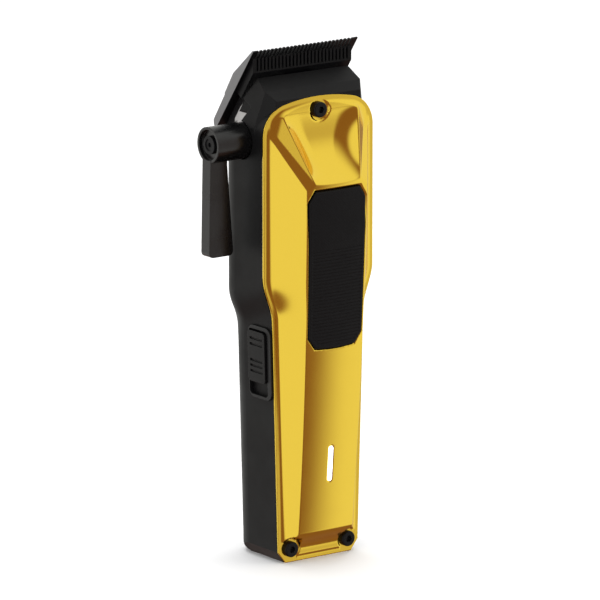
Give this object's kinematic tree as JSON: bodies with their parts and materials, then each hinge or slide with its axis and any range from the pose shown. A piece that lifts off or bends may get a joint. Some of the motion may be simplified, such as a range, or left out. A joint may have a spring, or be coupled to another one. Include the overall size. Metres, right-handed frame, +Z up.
{
  "type": "hair clipper",
  "caption": "Cordless hair clipper with a gold-tone front cover, taper lever, slide switch and a slanted two-part blade set driven by a motor.",
  "frame": {"origin": "middle of the flat base the clipper stands on", "axes": "+Z runs up the body to the blade, -Y is the side of the front cover, +X is to the right when the cover is faced"},
  "size_m": [0.0631, 0.0438, 0.1857],
  "materials": {
    "housing_plastic": "satin black moulded plastic with a fine grain",
    "gold_plating": "polished gold-tone metal",
    "grip_rubber": "matt black ribbed grip",
    "light": "clear light bar lit white",
    "black_steel": "black oxide steel",
    "blade_steel": "black coated blade steel, satin",
    "frame_alloy": "satin cast light alloy",
    "lever_plastic": "satin black plastic",
    "bright_steel": "bright steel",
    "bush_brass": "plain brass",
    "inner_plastic": "dark grey technical plastic",
    "cell_wrap": "blue shrink wrap",
    "board": "green circuit board"
  },
  "bodies": {
    "housing": {"battery_cell": "cell_wrap", "battery_cradle": "inner_plastic", "battery_tabs": "bright_steel", "charge_contacts": "bush_brass", "charging_socket": "inner_plastic", "circuit_board": "board", "cover_screws": "black_steel", "front_cover": "gold_plating", "grip_pad": "grip_rubber", "head_frame": "frame_alloy", "lever_bush": "bush_brass", "light_board": "board", "light_lens": "light", "motor_bracket": "bright_steel", "motor_can": "bright_steel", "motor_end_cap": "inner_plastic", "motor_screws": "black_steel", "rear_housing": "housing_plastic", "switch_body": "inner_plastic", "switch_panel": "lever_plastic"},
    "motor": {"motor_rotor": "bright_steel", "drive_cam": "bright_steel"},
    "cutter": {"moving_blade": "blade_steel", "drive_fork": "inner_plastic"},
    "comb": {"fixed_blade": "blade_steel", "blade_carriage": "black_steel", "blade_screws": "black_steel"},
    "lever": {"taper_lever": "lever_plastic", "lever_shaft": "bright_steel", "lever_screw": "black_steel"},
    "button": {"switch_button": "lever_plastic"}
  },
  "joints": [
    {"name": "lever_turn", "type": "hinge", "parent": "housing", "child": "lever", "pos_m": [-0.0295, -0.0005, 0.153], "axis": [-1, 0, 0], "range_deg": [0, 45]},
    {"name": "blade_adjust", "type": "slide", "parent": "housing", "child": "comb", "axis": [0, 0.5878, -0.809], "range_m": [0, 0.0024]},
    {"name": "cutter_stroke", "type": "slide", "parent": "housing", "child": "cutter", "axis": [1, 0, 0], "range_m": [-0.0012, 0.0012]},
    {"name": "motor_spin", "type": "hinge", "parent": "housing", "child": "motor", "pos_m": [0, -0.003, 0.125], "axis": [0, 0, 1], "continuous": true},
    {"name": "switch_slide", "type": "slide", "parent": "housing", "child": "button", "axis": [0.0281, 0, -0.9996], "range_m": [0, 0.0045]}
  ],
  "couplings": [
    {"joint": "lever_turn", "follows": "blade_adjust", "rad_per_m": 327.24}
  ]
}
